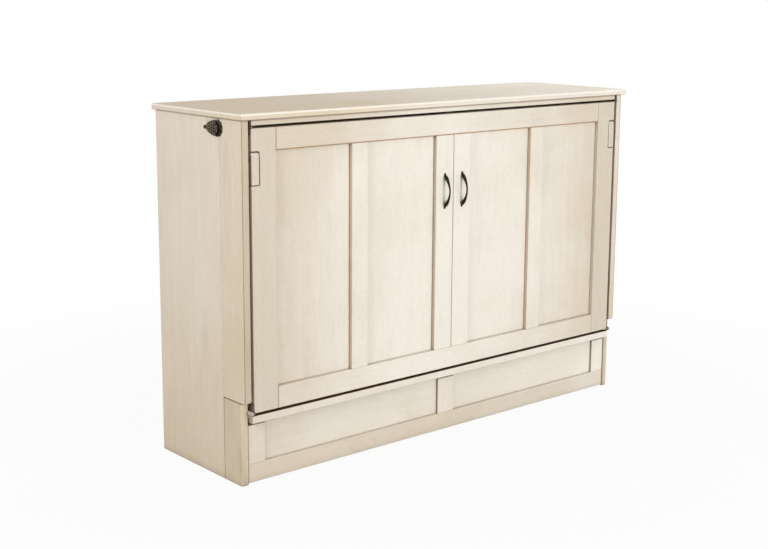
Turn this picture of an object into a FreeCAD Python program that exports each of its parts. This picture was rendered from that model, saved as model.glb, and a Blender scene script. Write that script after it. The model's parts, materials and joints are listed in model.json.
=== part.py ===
import FreeCAD
import Part
import math
import os

os.makedirs("parts", exist_ok=True)

# Cabinet, outside sizes without the overhang of the top board
cabinet_width = 1645.0
cabinet_depth = 460.0
cabinet_height = 1105.0
side_thickness = 23.0
back_thickness = 12.0
back_floor_gap = 12.0
cut_overrun = 5.0
match_tolerance = 0.001
edge_ease = 1.5
seam_ease = 0.25
seam_groove_width = 1.4
seam_groove_depth = 4.0

# Top board, a lid with the foot part of the bed deck under it
top_thickness = 19.0
top_side_overhang = 10.0
top_front_overhang = 12.0
top_rear_overhang = 6.0
top_corner_radius = 6.0
lid_seat_gap = 2.0
lid_rail_height = 17.0
lid_rail_depth = 22.0
lid_deck_thickness = 12.0
lid_bearer_width = 30.0
lid_side_clearance = 15.0
lid_rear_clearance = 8.0

# Side boards and front posts
side_front_depth = 111.0
side_front_bottom = 256.0
side_corner_radius = 8.0
post_setback = 20.0
post_top_gap = 3.0
post_edge_radius = 6.0

# Front panel, a drop front with false doors
side_gap = 10.5
front_bottom = 224.0
front_top_gap = 8.0
front_thickness = 28.0
frame_thickness = 20.0
field_recess = 13.0
outer_stile_width = 86.0
centre_stile_width = 75.0
mullion_width = 64.0
rail_height = 67.0
centre_groove = 2.0
fold_clearance = 2.0

# Support feet in the notches of the outer stiles
foot_width = 26.5
foot_top_drop = 68.0
foot_height = 94.5
foot_gap = 2.5
foot_pin_drop = 22.0
foot_stand_gap = 2.0
foot_pin_radius = 4.0
foot_corner_radius = 5.0
foot_tip_radius = 13.0
foot_pin_reach = 24.0
foot_pin_head = 5.0

# Bow handles
handle_top_drop = 247.0
handle_span = 103.0
handle_bow = 24.4
handle_shoulder_radius = 6.0
handle_mid_radius = 2.6
handle_tip_radius = 4.2
handle_shoulder_place = 0.78
handle_overrun_share = 0.12
handle_offset = 38.0
handle_sections = 19
screw_radius = 2.0
screw_head_radius = 4.0
screw_head_height = 2.0

# Pivot hardware in the side gaps
plate_thickness = 3.5
bracket_thickness = 3.0
pivot_pin_radius = 3.0
pivot_running_gap = 0.05
pivot_eye_radius = 6.0
pivot_plate_height = 30.0
pivot_plate_depth = 24.0
bracket_drop = 18.0
bracket_depth = 50.0
lid_pin_radius = 2.0
lid_eye_radius = 5.0
lid_plate_height = 22.0
lid_plate_depth = 14.0
lid_plate_gap = 0.5
lid_block_depth = 16.0
lid_block_inset = 2.0
lid_block_lift = 1.5

# Deck inside the cabinet
deck_thickness = 18.0
deck_front_gap = 30.0
deck_end_clearance = 3.5
beam_depth = 22.0
beam_bottom = 190.0
lower_rail_bottom = 193.0
lower_rail_gap = 8.0
lower_rail_end_gap = 0.5
cleat_width = 22.0
cleat_height = 30.0

# Folded mattress
mattress_sections = ("front", "middle", "rear")
mattress_side_gap = 35.5
mattress_end_gap = 2.0
mattress_section_gap = 2.0
mattress_front_gap = 26.0
mattress_rear_gap = 18.0
mattress_deck_gap = 0.3
mattress_edge_radius = 22.0

# Drawer
drawer_face_setback = 22.0
drawer_trim_thickness = 8.0
drawer_face_thickness = 12.0
drawer_face_bottom = 4.0
drawer_face_top = 182.0
drawer_face_side_gap = 2.0
drawer_stile_width = 61.0
drawer_centre_width = 72.0
drawer_bottom_rail_height = 58.0
drawer_side_thickness = 18.0
drawer_side_inset = 10.0
drawer_side_bottom = 48.0
drawer_rear_gap = 16.0
drawer_base_thickness = 9.0
drawer_back_thickness = 15.0
guide_running_gap = 0.3
guide_bottom = 100.0
guide_height = 40.0

# Casters
wheel_radius = 20.0
wheel_width = 14.0
axle_radius = 3.0
axle_running_gap = 0.05
fork_thickness = 2.5
fork_gap = 0.6
fork_plate_length = 40.0
fork_arm_length = 16.0
fork_arm_drop = 6.0
caster_side_inset = 70.0
caster_front_inset = 70.0
caster_rear_inset = 60.0

# Side latches
latch_pivot_depth = 118.0
latch_pivot_drop = 29.0
latch_plate_thickness = 3.0
latch_lever_gap = 0.3
latch_lever_thickness = 4.0
latch_lobe_radius = 7.0
latch_lobe_ring = 18.0
latch_fan_radius = 20.0
latch_plate_tail = 26.0
latch_plate_tail_width = 20.0
latch_lever_length = 56.0
latch_lever_shoulder = 25.0
latch_lever_neck = 42.0
latch_lever_root = 18.0
latch_lever_shoulder_rise = 16.5
latch_lever_neck_rise = 9.5
latch_lever_tip = 4.5
latch_knob_radius = 5.5
latch_boss_radius = 10.0
latch_boss_height = 1.8
latch_pin_radius = 3.0
latch_screw_radius = 3.2
latch_screw_height = 1.2
latch_lobe_angles = (100.0, 135.0, 170.0, 205.0, 240.0, 275.0)
latch_screw_angles = (115.0, 158.0)

half_share = 0.5

# Planes that several pieces share
half_width = cabinet_width * half_share
inner_half = half_width - side_thickness
panel_half = inner_half - side_gap
bracket_inner = inner_half - bracket_thickness
back_inner = cabinet_depth - back_thickness
top_underside = cabinet_height - top_thickness
side_top = top_underside - lid_seat_gap
lid_rail_bottom = top_underside - lid_rail_height
front_top = lid_rail_bottom - front_top_gap
foot_top = front_top - foot_top_drop
foot_bottom = foot_top - foot_height
foot_pin_height = foot_top - foot_pin_drop
foot_mid = front_thickness * half_share
foot_reach = foot_height - foot_pin_drop
drawer_side_top = front_bottom + foot_mid - foot_reach - foot_stand_gap
handle_centre_height = front_top - handle_top_drop
latch_pivot_height = side_top - latch_pivot_drop
lid_axis_height = (front_top + lid_rail_bottom) * half_share
deck_top = front_bottom + front_thickness
deck_bottom = deck_top - deck_thickness
lid_deck_bottom = lid_axis_height - front_thickness
lid_deck_top = lid_deck_bottom + lid_deck_thickness
lid_front = front_thickness + fold_clearance
lid_rear = back_inner - lid_rear_clearance
lid_half = inner_half - lid_side_clearance
handle_reach = handle_bow + handle_mid_radius
origin_depth = (cabinet_depth + top_rear_overhang - handle_reach) * half_share


def point(x, y, z):
    return FreeCAD.Vector(x, y, z)


across = point(1, 0, 0)
backward = point(0, 1, 0)


def board(x0, x1, y0, y1, z0, z1):
    return Part.makeBox(x1 - x0, y1 - y0, z1 - z0, point(x0, y0, z0))


def edges_at(shape, axis, value):
    found = []
    for edge in shape.Edges:
        places = [(v.X, v.Y, v.Z)[axis] for v in edge.Vertexes]
        if all(abs(p - value) < match_tolerance for p in places):
            found.append(edge)
    return found


def edges_between(shape, axis_a, value_a, axis_b, value_b):
    first = edges_at(shape, axis_a, value_a)
    second = edges_at(shape, axis_b, value_b)
    return [e for e in first if any(e.isSame(f) for f in second)]


def front_eased(x0, x1, y0, y1, z0, z1, radius):
    shape = board(x0, x1, y0, y1, z0, z1)
    return shape.makeFillet(radius, edges_at(shape, 1, y0))


def rod(radius, x0, x1, y, z):
    return Part.makeCylinder(radius, x1 - x0, point(x0, y, z), across)


def joined(first, *others):
    whole = first.fuse(list(others))
    return whole.removeSplitter().Solids[0]


def trimmed(shape, *tools):
    return shape.cut(list(tools)).Solids[0]


def mirrored(shape):
    return shape.mirror(point(0, 0, 0), across)


def save(name, *solids):
    whole = solids[0] if len(solids) == 1 else Part.makeCompound(list(solids))
    placed = whole.copy()
    placed.translate(point(0, -origin_depth, 0))
    placed.exportStep("parts/" + name + ".step")


def save_pair(name, right_shape):
    save("left_" + name, mirrored(right_shape))
    save("right_" + name, right_shape)


# Side boards, posts and back
rear_board = board(inner_half, half_width, side_front_depth, cabinet_depth, 0, side_top)
rear_board = rear_board.makeFillet(seam_ease, edges_between(rear_board, 0, half_width, 1, side_front_depth))
save_pair("side_rear_board", rear_board)

side_front = board(inner_half, half_width, 0, side_front_depth, side_front_bottom, side_top)
side_front = side_front.makeFillet(side_corner_radius, edges_between(side_front, 1, 0, 2, side_front_bottom))
side_front = side_front.makeFillet(seam_ease, edges_between(side_front, 0, half_width, 1, side_front_depth))
save_pair("side_front_board", side_front)

post_top = side_front_bottom - post_top_gap
post = board(inner_half, half_width, post_setback, side_front_depth, 0, post_top)
post = post.makeFillet(post_edge_radius, edges_between(post, 0, half_width, 1, post_setback))
seam_groove = board(half_width - seam_groove_depth, half_width, side_front_depth - seam_groove_width,
                    side_front_depth, 0, post_top)
save_pair("post", trimmed(post, seam_groove))

save("back_panel", board(-inner_half, inner_half, back_inner, cabinet_depth, back_floor_gap, side_top))

# Fixed deck with the beam, rail and cleats that carry it
deck_half = inner_half - deck_end_clearance
save("deck_board", board(-deck_half, deck_half, deck_front_gap, back_inner, deck_bottom, deck_top))
beam_rear = deck_front_gap + beam_depth
save("deck_beam", board(-deck_half, deck_half, deck_front_gap, beam_rear, beam_bottom, deck_bottom))
lower_half = bracket_inner - lower_rail_end_gap
lower_top = front_bottom - lower_rail_gap
save("lower_rail", front_eased(-lower_half, lower_half, 0, deck_front_gap,
                               lower_rail_bottom, lower_top, edge_ease))
cleat_inner = inner_half - cleat_width
cleat = board(cleat_inner, inner_half, beam_rear, back_inner, deck_bottom - cleat_height, deck_bottom)
save_pair("deck_cleat", cleat)

# Front panel, stiles, rails and fields on one deck board
rail_low_top = front_bottom + rail_height
rail_high_bottom = front_top - rail_height
stile_inner = panel_half - outer_stile_width
groove_half = centre_groove * half_share
centre_outer = groove_half + centre_stile_width
field_width = (stile_inner - centre_outer - mullion_width) * half_share
mullion_inner = centre_outer + field_width
mullion_outer = mullion_inner + mullion_width
notch_inner = panel_half - foot_width - foot_gap
notch_bottom = foot_bottom - foot_gap
notch_top = foot_top + foot_gap

notch = board(notch_inner, panel_half + cut_overrun, -cut_overrun, front_thickness + cut_overrun,
              notch_bottom, notch_top)
notch = notch.makeFillet(foot_corner_radius, edges_between(notch, 0, notch_inner, 2, notch_bottom)
                         + edges_between(notch, 0, notch_inner, 2, notch_top))
stile = front_eased(stile_inner, panel_half, 0, frame_thickness, front_bottom, front_top, edge_ease)
pin_start = notch_inner - foot_pin_reach
foot_pin = rod(foot_pin_radius, pin_start, panel_half + foot_pin_head, foot_mid, foot_pin_height)
save("foot_pins", mirrored(foot_pin), foot_pin)
save_pair("outer_stile", trimmed(stile, notch, foot_pin))
save("front_top_rail", front_eased(-stile_inner, stile_inner, 0, frame_thickness,
                                   rail_high_bottom, front_top, edge_ease))
save("front_bottom_rail", front_eased(-stile_inner, stile_inner, 0, frame_thickness,
                                      front_bottom, rail_low_top, edge_ease))
centre_stile = front_eased(groove_half, centre_outer, 0, frame_thickness,
                           rail_low_top, rail_high_bottom, edge_ease)
mullion = front_eased(mullion_inner, mullion_outer, 0, frame_thickness,
                      rail_low_top, rail_high_bottom, edge_ease)
save_pair("mullion", mullion)
fields = []
for field_start in (centre_outer, mullion_outer):
    field = board(field_start, field_start + field_width, field_recess, frame_thickness,
                  rail_low_top, rail_high_bottom)
    fields = fields + [mirrored(field), field]
save("field_panels", *fields)
front_deck = board(-panel_half, panel_half, frame_thickness, front_thickness, front_bottom, front_top)
front_deck = trimmed(front_deck, notch, mirrored(notch))

# Bow handles with a screw through the stile into each end
handle_wires = []
half_span = handle_span * half_share
last_section = handle_sections - 1
for index in range(handle_sections):
    share = (1 + handle_overrun_share) * (2 * index / last_section - 1)
    away = abs(share)
    if away < handle_shoulder_place:
        swell = (away / handle_shoulder_place) ** 2
        radius = handle_mid_radius + (handle_shoulder_radius - handle_mid_radius) * swell
    else:
        fall = (away - handle_shoulder_place) / (1 - handle_shoulder_place)
        radius = handle_shoulder_radius - (handle_shoulder_radius - handle_tip_radius) * min(fall, 1)
    centre = point(handle_offset, -handle_bow * (1 - share ** 2), handle_centre_height + half_span * share)
    along = point(0, 2 * handle_bow * share, half_span)
    circle = Part.Circle(centre, along, radius)
    handle_wires.append(Part.Wire([circle.toShape()]))
handle = Part.makeLoft(handle_wires, True, False)
handle_room = half_span + handle_bow + handle_shoulder_radius
seat_cut = board(handle_offset - handle_room, handle_offset + handle_room, 0, handle_room,
                 handle_centre_height - handle_room, handle_centre_height + handle_room)
save_pair("handle", trimmed(handle, seat_cut))
handle_screws = []
for side in (-1, 1):
    for end in (-1, 1):
        height = handle_centre_height + end * handle_span * half_share
        shank = Part.makeCylinder(screw_radius, front_thickness - screw_head_height,
                                  point(side * handle_offset, 0, height), backward)
        head_seat = point(side * handle_offset, front_thickness - screw_head_height, height)
        head = Part.makeCylinder(screw_head_radius, screw_head_height, head_seat, backward)
        handle_screws.append(joined(shank, head))
save("handle_screws", *handle_screws)
save_pair("centre_stile", trimmed(centre_stile, *handle_screws))
save("front_deck_board", trimmed(front_deck, *handle_screws))

# Support feet, each turning on a pin across its notch
foot_inner = panel_half - foot_width
foot = board(foot_inner, panel_half, 0, front_thickness, foot_bottom, foot_top)
foot = foot.makeFillet(foot_tip_radius, edges_between(foot, 1, 0, 2, foot_top)
                       + edges_between(foot, 1, front_thickness, 2, foot_top))
foot = foot.makeFillet(edge_ease, edges_between(foot, 0, foot_inner, 1, 0))
foot_hole = rod(foot_pin_radius + pivot_running_gap, foot_inner - cut_overrun, panel_half + cut_overrun,
                foot_mid, foot_pin_height)
save_pair("support_foot", trimmed(foot, foot_hole))

# Pivots of the drop front, a plate with an eye on the panel and a bracket with a pin on the post
plate_outer = panel_half + plate_thickness
eye = rod(pivot_eye_radius, panel_half, plate_outer, 0, front_bottom)
strap = board(panel_half, plate_outer, 0, pivot_plate_depth, front_bottom, front_bottom + pivot_plate_height)
eye_hole = rod(pivot_pin_radius + pivot_running_gap, panel_half - cut_overrun, plate_outer + cut_overrun,
               0, front_bottom)
front_plate = trimmed(joined(eye, strap), eye_hole)
save("pivot_plates", mirrored(front_plate), front_plate)
bracket_eye = rod(pivot_eye_radius, bracket_inner, inner_half, 0, front_bottom)
bracket_arm = board(bracket_inner, inner_half, 0, post_setback,
                    front_bottom - pivot_eye_radius, front_bottom + pivot_eye_radius)
bracket_plate = board(bracket_inner, inner_half, post_setback, bracket_depth,
                      front_bottom - bracket_drop, front_bottom + pivot_eye_radius)
pivot_pin = rod(pivot_pin_radius, panel_half, inner_half, 0, front_bottom)
bracket = joined(bracket_eye, bracket_arm, bracket_plate, pivot_pin)
save("pivot_brackets", mirrored(bracket), bracket)

# Pivots of the lid on the upper corners of the drop front
lid_eye = rod(lid_eye_radius, panel_half, plate_outer, 0, lid_axis_height)
lid_strap = board(panel_half, plate_outer, 0, lid_plate_depth,
                  lid_axis_height - lid_plate_height, lid_axis_height)
lug_inner = plate_outer + lid_plate_gap
lug_outer = lug_inner + bracket_thickness
lid_pin = rod(lid_pin_radius, panel_half, lug_outer, 0, lid_axis_height)
lid_plate = joined(lid_eye, lid_strap, lid_pin)
save("lid_pivot_plates", mirrored(lid_plate), lid_plate)
block_bottom = lid_axis_height + lid_eye_radius + lid_block_lift
block = board(panel_half, lug_outer, lid_block_inset, lid_block_inset + lid_block_depth,
              block_bottom, top_underside)
lug_eye = rod(lid_eye_radius, lug_inner, lug_outer, 0, lid_axis_height)
lug_plate = board(lug_inner, lug_outer, 0, lid_block_inset + lid_block_depth, lid_axis_height, top_underside)
lug_hole = rod(lid_pin_radius + pivot_running_gap, panel_half, lug_outer + cut_overrun, 0, lid_axis_height)
lid_lug = trimmed(joined(block, lug_eye, lug_plate), lug_hole)
save("lid_lugs", mirrored(lid_lug), lid_lug)

# Lid, the top board over a shallow frame that becomes the foot of the bed
top = board(-half_width - top_side_overhang, half_width + top_side_overhang, -top_front_overhang,
            cabinet_depth + top_rear_overhang, top_underside, cabinet_height)
top = top.makeFillet(top_corner_radius, edges_at(top, 2, cabinet_height))
top = top.makeFillet(edge_ease, edges_at(top, 2, top_underside))
save("top_board", top)
save("lid_front_rail", front_eased(-panel_half, panel_half, 0, lid_rail_depth,
                                   lid_rail_bottom, top_underside, edge_ease))
save("lid_deck_board", board(-lid_half, lid_half, lid_front, lid_rear, lid_deck_bottom, lid_deck_top))
lid_bearer = board(lid_half - lid_bearer_width, lid_half, lid_front, lid_rear, lid_deck_top, top_underside)
save_pair("lid_bearer", lid_bearer)
bearer_half = lid_bearer_width * half_share
save("lid_centre_bearer", board(-bearer_half, bearer_half, lid_front, lid_rear, lid_deck_top, top_underside))

# Folded mattress, upright sections that together cover the open deck
mattress_half = inner_half - mattress_side_gap
section_count = len(mattress_sections)
open_deck_length = back_inner + lid_axis_height - front_bottom + lid_rear
mattress_section_height = (open_deck_length - mattress_end_gap * 2) / section_count
section_start = front_thickness + mattress_front_gap
folded_depth = back_inner - mattress_rear_gap - section_start
mattress_section_thickness = (folded_depth - mattress_section_gap * (section_count - 1)) / section_count
for name in mattress_sections:
    section = board(-mattress_half, mattress_half, section_start, section_start + mattress_section_thickness,
                    deck_top + mattress_deck_gap, deck_top + mattress_deck_gap + mattress_section_height)
    save("mattress_" + name, section.makeFillet(mattress_edge_radius, section.Edges))
    section_start = section_start + mattress_section_thickness + mattress_section_gap

# Drawer
face_half = inner_half - drawer_face_side_gap
trim_front = drawer_face_setback
face_front = trim_front + drawer_trim_thickness
face_rear = face_front + drawer_face_thickness
rail_top = drawer_face_bottom + drawer_bottom_rail_height
save("drawer_face", board(-face_half, face_half, face_front, face_rear, drawer_face_bottom, drawer_face_top))
save("drawer_bottom_rail", front_eased(-face_half, face_half, trim_front, face_front,
                                       drawer_face_bottom, rail_top, edge_ease))
drawer_stile = front_eased(face_half - drawer_stile_width, face_half, trim_front, face_front,
                           rail_top, drawer_face_top, edge_ease)
save_pair("drawer_stile", drawer_stile)
drawer_centre_half = drawer_centre_width * half_share
save("drawer_centre_stile", front_eased(-drawer_centre_half, drawer_centre_half, trim_front, face_front,
                                        rail_top, drawer_face_top, edge_ease))
side_outer = face_half - drawer_side_inset
side_inner = side_outer - drawer_side_thickness
drawer_rear = back_inner - drawer_rear_gap
drawer_side = board(side_inner, side_outer, face_rear, drawer_rear, drawer_side_bottom, drawer_side_top)
save_pair("drawer_side", drawer_side)
guide = board(side_outer + guide_running_gap, inner_half, beam_rear, back_inner,
              guide_bottom, guide_bottom + guide_height)
save("drawer_guides", mirrored(guide), guide)
base_top = drawer_side_bottom + drawer_base_thickness
save("drawer_base", board(-side_inner, side_inner, face_rear, drawer_rear, drawer_side_bottom, base_top))
save("drawer_back", board(-side_inner, side_inner, drawer_rear - drawer_back_thickness, drawer_rear,
                          base_top, drawer_side_top))

# Casters under the drawer base
wheel_half = wheel_width * half_share
arm_inner = wheel_half + fork_gap
arm_outer = arm_inner + fork_thickness
plate_half = fork_plate_length * half_share
arm_half = fork_arm_length * half_share
caster_x = side_inner - caster_side_inset
caster_places = {"front": face_rear + caster_front_inset, "rear": drawer_rear - caster_rear_inset}


def caster_fork(x, y):
    plate = board(x - plate_half, x + plate_half, y - plate_half, y + plate_half,
                  drawer_side_bottom - fork_thickness, drawer_side_bottom)
    axle = rod(axle_radius, x - arm_outer, x + arm_outer, y, wheel_radius)
    arms = []
    for start in (x - arm_outer, x + arm_inner):
        arms.append(board(start, start + fork_thickness, y - arm_half, y + arm_half,
                          wheel_radius - fork_arm_drop, drawer_side_bottom - fork_thickness))
    return joined(plate, axle, *arms)


forks = []
for place in caster_places:
    y = caster_places[place]
    for side, sign in (("left", -1), ("right", 1)):
        x = sign * caster_x
        forks.append(caster_fork(x, y))
        wheel = rod(wheel_radius, x - wheel_half, x + wheel_half, y, wheel_radius)
        wheel = wheel.makeFillet(edge_ease, wheel.Edges)
        axle_hole = rod(axle_radius + axle_running_gap, x - arm_outer, x + arm_outer, y, wheel_radius)
        save(side + "_" + place + "_wheel", trimmed(wheel, axle_hole))
save("caster_forks", *forks)

# Side latches, a scalloped plate and a lever that turns on its pin
latch_outer = half_width + latch_plate_thickness
fan = rod(latch_fan_radius, half_width, latch_outer, latch_pivot_depth, latch_pivot_height)
lobes = []
for angle in latch_lobe_angles:
    turn = math.radians(angle)
    lobe_y = latch_pivot_depth + latch_lobe_ring * math.cos(turn)
    lobe_z = latch_pivot_height + latch_lobe_ring * math.sin(turn)
    lobes.append(rod(latch_lobe_radius, half_width, latch_outer, lobe_y, lobe_z))
tail_half = latch_plate_tail_width * half_share
tail = board(half_width, latch_outer, latch_pivot_depth, latch_pivot_depth + latch_plate_tail,
             latch_pivot_height - tail_half, latch_pivot_height + tail_half)
tail_end = rod(tail_half, half_width, latch_outer, latch_pivot_depth + latch_plate_tail, latch_pivot_height)
lever_inner = latch_outer + latch_lever_gap
lever_outer = lever_inner + latch_lever_thickness
latch_pin = rod(latch_pin_radius, half_width, lever_outer, latch_pivot_depth, latch_pivot_height)
latch_plate = joined(fan, tail, tail_end, latch_pin, *lobes)
save("latch_plates", mirrored(latch_plate), latch_plate)

knob_y = latch_pivot_depth + latch_lever_length
lever_stations = [(0, latch_lever_root), (latch_lever_shoulder, latch_lever_shoulder_rise),
                  (latch_lever_neck, latch_lever_neck_rise), (latch_lever_length, latch_lever_tip)]
lower_stations = [(along, -rise) for along, rise in reversed(lever_stations)]
outline = []
for along, rise in lever_stations + lower_stations:
    outline.append(point(lever_inner, latch_pivot_depth + along, latch_pivot_height + rise))
outline.append(outline[0])
lever = Part.Face(Part.makePolygon(outline)).extrude(point(latch_lever_thickness, 0, 0))
boss = rod(latch_boss_radius, lever_inner, lever_outer, latch_pivot_depth, latch_pivot_height)
knob = rod(latch_knob_radius, lever_inner, lever_outer + latch_boss_height, knob_y, latch_pivot_height)
lever_hole = rod(latch_pin_radius + pivot_running_gap, half_width, lever_outer + cut_overrun,
                 latch_pivot_depth, latch_pivot_height)
save_pair("latch_lever", trimmed(joined(lever, boss, knob), lever_hole))

# Screw heads on the latch plates
heads = []
for angle in latch_screw_angles:
    turn = math.radians(angle)
    head_y = latch_pivot_depth + latch_lobe_ring * math.cos(turn)
    head_z = latch_pivot_height + latch_lobe_ring * math.sin(turn)
    head = rod(latch_screw_radius, latch_outer, latch_outer + latch_screw_height, head_y, head_z)
    heads = heads + [mirrored(head), head]
save("latch_screws", *heads)
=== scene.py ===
import json
import math

import bmesh
import bpy
from mathutils import Matrix, Vector


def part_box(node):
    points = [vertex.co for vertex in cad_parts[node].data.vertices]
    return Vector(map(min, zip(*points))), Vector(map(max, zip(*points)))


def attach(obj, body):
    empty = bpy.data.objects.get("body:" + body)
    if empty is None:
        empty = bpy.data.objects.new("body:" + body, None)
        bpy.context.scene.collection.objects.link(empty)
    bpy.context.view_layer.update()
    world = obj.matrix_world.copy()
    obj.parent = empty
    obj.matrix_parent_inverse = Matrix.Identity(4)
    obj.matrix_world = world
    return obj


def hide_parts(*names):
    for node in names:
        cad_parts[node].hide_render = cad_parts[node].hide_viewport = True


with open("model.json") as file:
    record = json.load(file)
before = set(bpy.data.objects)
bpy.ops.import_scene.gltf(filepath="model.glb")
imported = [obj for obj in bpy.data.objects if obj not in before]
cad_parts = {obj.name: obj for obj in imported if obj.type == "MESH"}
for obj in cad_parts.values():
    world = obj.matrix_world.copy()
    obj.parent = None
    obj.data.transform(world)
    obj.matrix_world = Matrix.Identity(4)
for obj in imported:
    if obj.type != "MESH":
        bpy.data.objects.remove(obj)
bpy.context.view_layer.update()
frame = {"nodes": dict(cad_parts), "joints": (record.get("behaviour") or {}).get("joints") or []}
nodes = frame["nodes"]

# Finishes of the cabinet in linear colour, with the tints of its painted shade and painted
# highlight
CREAM = (0.82, 0.766, 0.684, 1.0)
# The warm coats are glaze and also painted shade: the pieces and parts that take less light keep
# more of them.
WARM_COAT_AND_SHADE = (0.662, 0.577, 0.462, 1.0)
STILE_WARM_AND_SHADE = (0.636, 0.561, 0.453, 1.0)
CREAM_PALE = (0.85, 0.80, 0.71, 1.0)
SIDE_WARM_AND_SHADE = (0.695, 0.584, 0.434, 1.0)
# A lighter copy of the cream: painted light on the drawer.
CREAM_PAINTED_LIGHT = (0.848, 0.795, 0.710, 1.0)
# Painted highlight on rounded arrises.
CREAM_HIGHLIGHT = (0.91, 0.86, 0.77, 1.0)
# Painted shade in the seam between the centre stiles.
SEAM_SHADE = (0.76, 0.63, 0.45, 1.0)
# Painted shade on recess walls and along the top rail's lower edge.
SHADE_TAN = (0.36, 0.21, 0.085, 1.0)
# Brown glaze, and painted shade in corners, gaps and under overhangs.
GLAZE_AND_SHADE_BROWN = (0.105, 0.048, 0.017, 1.0)
BRONZE_DARK = (0.020, 0.013, 0.009, 1.0)
BRONZE_RUBBED = (0.30, 0.235, 0.165, 1.0)
BIRCH_LIGHT = (0.68, 0.52, 0.34, 1.0)
BIRCH_DARK = (0.50, 0.34, 0.19, 1.0)
# Near-black birch: painted shade on pieces seen only through gaps.
GAP_SHADE_LIGHT = (0.050, 0.034, 0.022, 1.0)
GAP_SHADE_DARK = (0.022, 0.014, 0.009, 1.0)
TICKING_LIGHT = (0.78, 0.75, 0.69, 1.0)
TICKING_SHADE = (0.55, 0.51, 0.45, 1.0)
RUBBER_BLACK = (0.018, 0.018, 0.019, 1.0)
RUBBER_DUST = (0.075, 0.070, 0.064, 1.0)
STEEL_DARK = (0.150, 0.118, 0.090, 1.0)
STEEL_WORN = (0.36, 0.31, 0.25, 1.0)
STEEL_PAINTED = (0.52, 0.45, 0.35, 1.0)
STEEL_CHIPPED = (0.40, 0.33, 0.25, 1.0)
ZINC_LIGHT = (0.56, 0.56, 0.57, 1.0)
ZINC_DULL = (0.33, 0.34, 0.36, 1.0)
FLOOR_PALE = (0.66, 0.66, 0.65, 1.0)
WHITE = (1.0, 1.0, 1.0, 1.0)


# Small helpers for node trees

def place(tree, kind, **values):
    node = tree.nodes.new(kind)
    for name, value in values.items():
        setattr(node, name, value)
    return node


def feed(tree, value, socket):
    if isinstance(value, bpy.types.NodeSocket):
        tree.links.new(value, socket)
    else:
        socket.default_value = value


def new_group(name, inputs, outputs):
    tree = bpy.data.node_groups.new(name, "ShaderNodeTree")
    for label, kind in inputs:
        tree.interface.new_socket(label, in_out="INPUT", socket_type=kind)
    for label, kind in outputs:
        tree.interface.new_socket(label, in_out="OUTPUT", socket_type=kind)
    given = place(tree, "NodeGroupInput").outputs
    return tree, given, place(tree, "NodeGroupOutput").inputs


def use_group(tree, group, **values):
    node = place(tree, "ShaderNodeGroup", node_tree=group)
    for label, value in values.items():
        feed(tree, value, node.inputs[label])
    return node.outputs


def calc(tree, operation, first, second=0.0, third=0.0, clamp=False):
    node = place(tree, "ShaderNodeMath", operation=operation, use_clamp=clamp)
    for value, socket in zip((first, second, third), node.inputs):
        feed(tree, value, socket)
    return node.outputs[0]


def blend_colour(tree, factor, first, second):
    node = place(tree, "ShaderNodeMix", data_type="RGBA", blend_type="MIX", clamp_factor=True)
    factor_socket, first_socket, second_socket = node.inputs[0], node.inputs[6], node.inputs[7]
    feed(tree, factor, factor_socket)
    feed(tree, first, first_socket)
    feed(tree, second, second_socket)
    return node.outputs[2]


def tinted(tree, colour, mask, share, tint):
    """The colour with a share of a tint where the mask is."""
    return blend_colour(tree, calc(tree, "MULTIPLY", mask, share), colour, tint)


def ramp(tree, value, low, high):
    node = place(tree, "ShaderNodeMapRange", interpolation_type="SMOOTHSTEP", clamp=True)
    feed(tree, value, node.inputs["Value"])
    feed(tree, low, node.inputs["From Min"])
    feed(tree, high, node.inputs["From Max"])
    return node.outputs["Result"]


def noise(tree, vector, scale, detail=3.0, roughness=0.55):
    node = place(tree, "ShaderNodeTexNoise")
    tree.links.new(vector, node.inputs["Vector"])
    feed(tree, scale, node.inputs["Scale"])
    node.inputs["Detail"].default_value = detail
    node.inputs["Roughness"].default_value = roughness
    return node.outputs["Fac"]


def split(tree, vector):
    parts = place(tree, "ShaderNodeSeparateXYZ")
    tree.links.new(vector, parts.inputs[0])
    return parts.outputs


def measured(tree, position, way):
    """A point's place along X, Y or Z, or its distance from the middle of the cabinet."""
    parts = split(tree, position)
    if way == "from middle":
        return calc(tree, "ABSOLUTE", parts["X"])
    return parts[way]


def stretched(tree, vector, stretch):
    node = place(tree, "ShaderNodeVectorMath", operation="MULTIPLY")
    tree.links.new(vector, node.inputs[0])
    feed(tree, stretch, node.inputs[1])
    return node.outputs[0]


def seen_directly(tree):
    """One for rays that see the floor or the studio itself, straight, mirrored or through glass."""
    light = place(tree, "ShaderNodeLightPath").outputs
    through = calc(tree, "MAXIMUM", light["Is Glossy Ray"], light["Is Transmission Ray"])
    return calc(tree, "MAXIMUM", light["Is Camera Ray"], through)


# Effects that several finishes share

CORNER_SAMPLES = 8
CORNER_BREAK_SCALE = 26.0
CORNER_BREAK = 0.5
CORNER_START = 0.10
RUB_SAMPLES = 6
RUB_PATCH_SCALE = 38.0
RUB_PATCH_RAMP = (0.38, 0.62)
RUB_PATCH_LEAST = 0.4
RUB_BEND_RAMP = (0.015, 0.14)
GRAIN_DETAIL = 4.0
FINE_GRAIN_DETAIL = 3.0
GRAIN_ROUGHNESS = 0.6
FINE_GRAIN_FACTOR = 5.0
MOTTLE_DETAIL = 5.0
MOTTLE_ROUGHNESS = 0.6


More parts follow.
